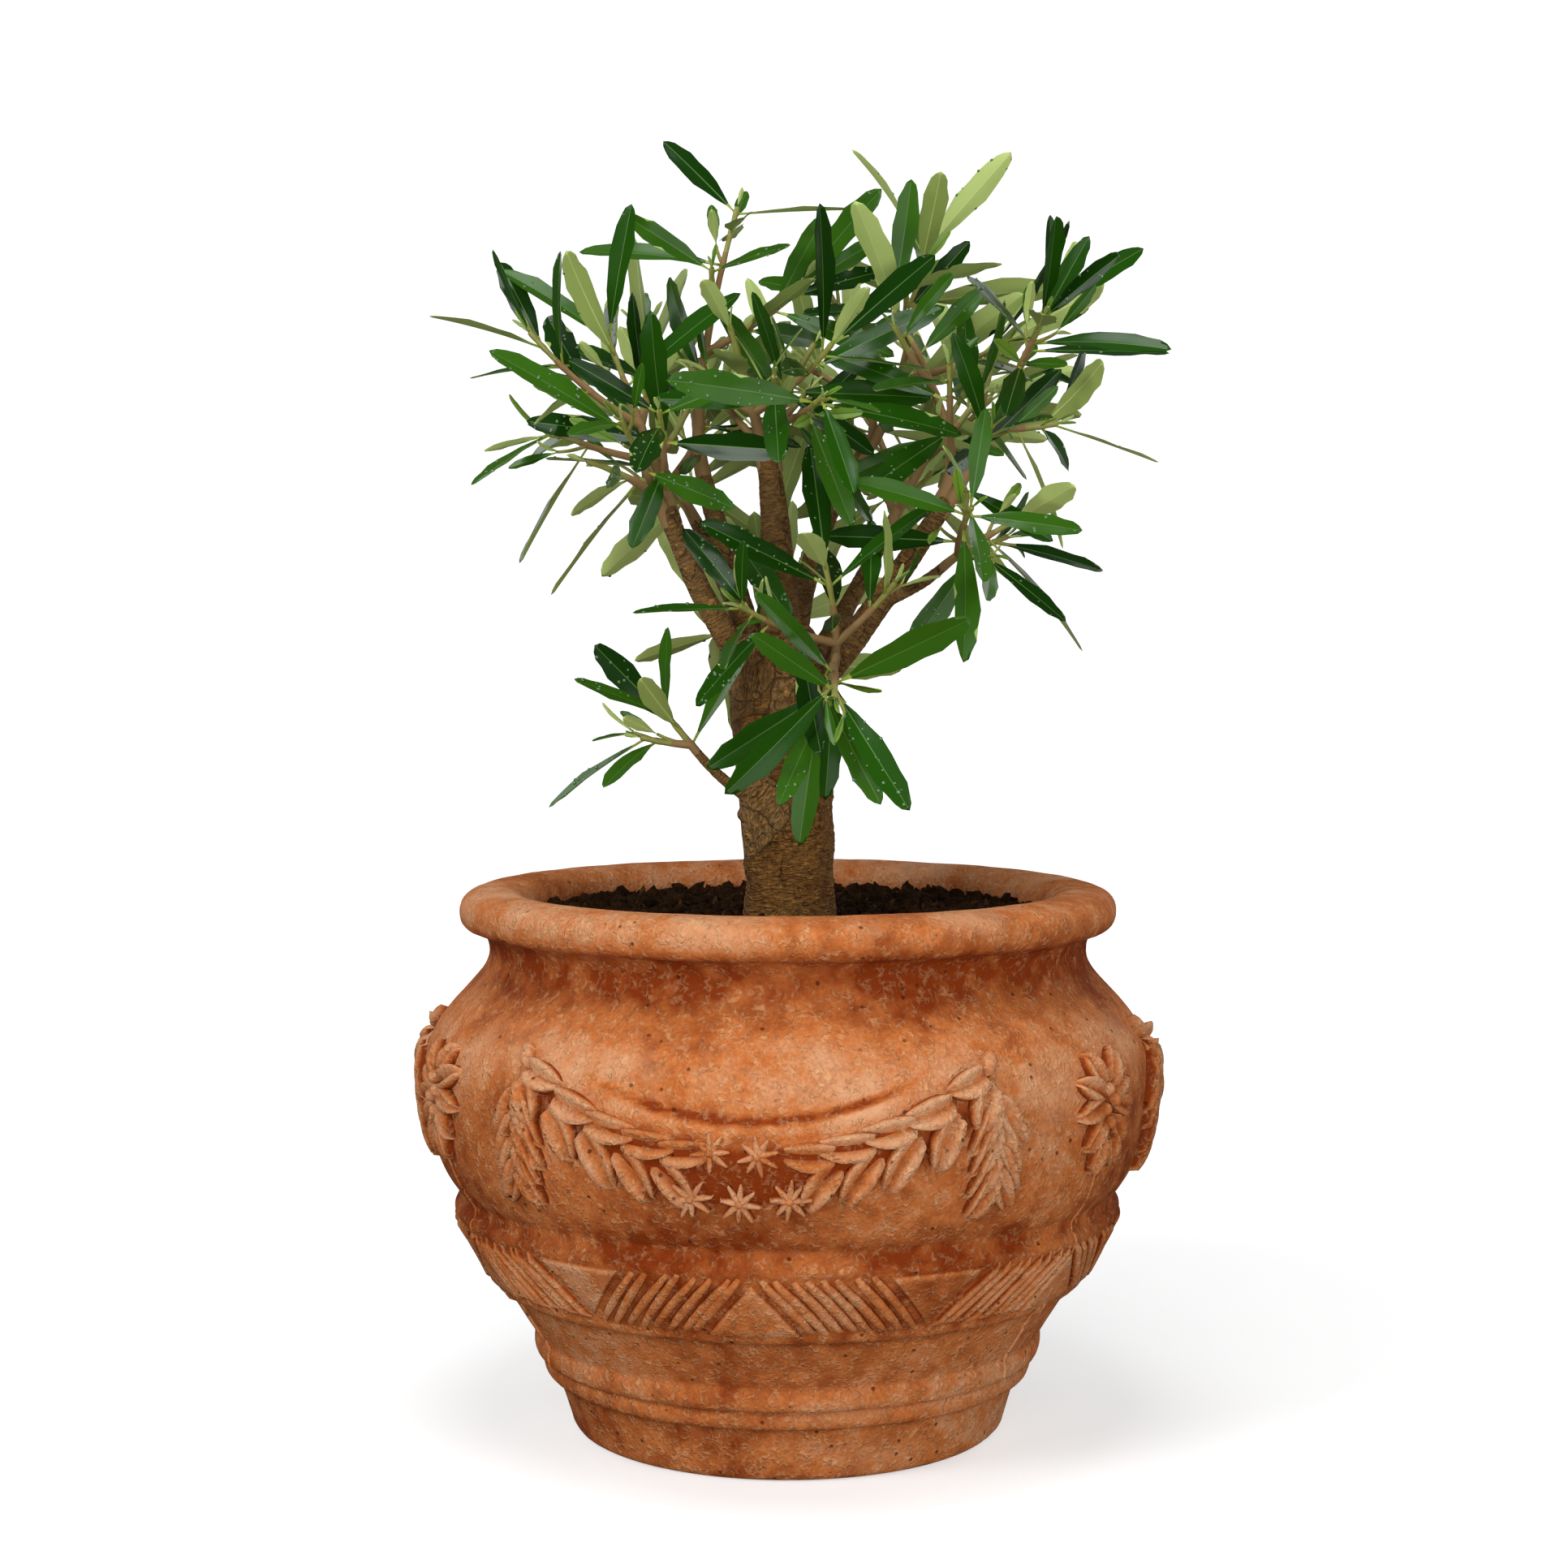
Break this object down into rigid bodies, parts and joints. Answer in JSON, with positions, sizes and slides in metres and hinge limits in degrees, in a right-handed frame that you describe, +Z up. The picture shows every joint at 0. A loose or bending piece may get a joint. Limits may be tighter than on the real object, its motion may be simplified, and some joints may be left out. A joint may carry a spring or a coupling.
{
  "type": "olive bonsai in a terracotta pot",
  "caption": "Small potted olive tree with a thick short trunk, forked boughs and open sprays of narrow leaves, in a round festooned terracotta pot filled with soil.",
  "frame": {"origin": "middle of the pot's flat underside, on the surface that it stands on", "axes": "+Z up the trunk, +X to the right and -Y towards the viewer of the picture"},
  "size_m": [0.3421, 0.3416, 0.5934],
  "materials": {
    "terracotta": "unglazed weathered terracotta, matt and pitted",
    "soil": "damp dark potting soil",
    "bark": "rough tan bark",
    "foliage": "leathery leaves, glossy above and pale below"
  },
  "bodies": {
    "root": {"pot": "terracotta", "soil": "soil", "trunk": "bark", "centre_bough": "bark", "left_bough": "bark", "right_bough": "bark", "top_left_bough": "bark", "inner_bough": "bark", "back_left_bough": "bark", "back_right_bough": "bark", "right_low_bough": "bark", "front_bough": "bark", "low_left_bough": "bark", "back_low_bough": "bark", "left_spray": "foliage", "left_low_spray": "foliage", "top_left_spray": "foliage", "centre_left_spray": "foliage", "centre_spray": "foliage", "inner_spray": "foliage", "right_spray": "foliage", "right_inner_spray": "foliage", "right_low_spray": "foliage", "front_spray": "foliage", "front_low_spray": "foliage", "low_left_spray": "foliage", "back_left_spray": "foliage", "back_right_spray": "foliage", "back_low_spray": "foliage", "back_spray": "foliage"}
  },
  "joints": []
}
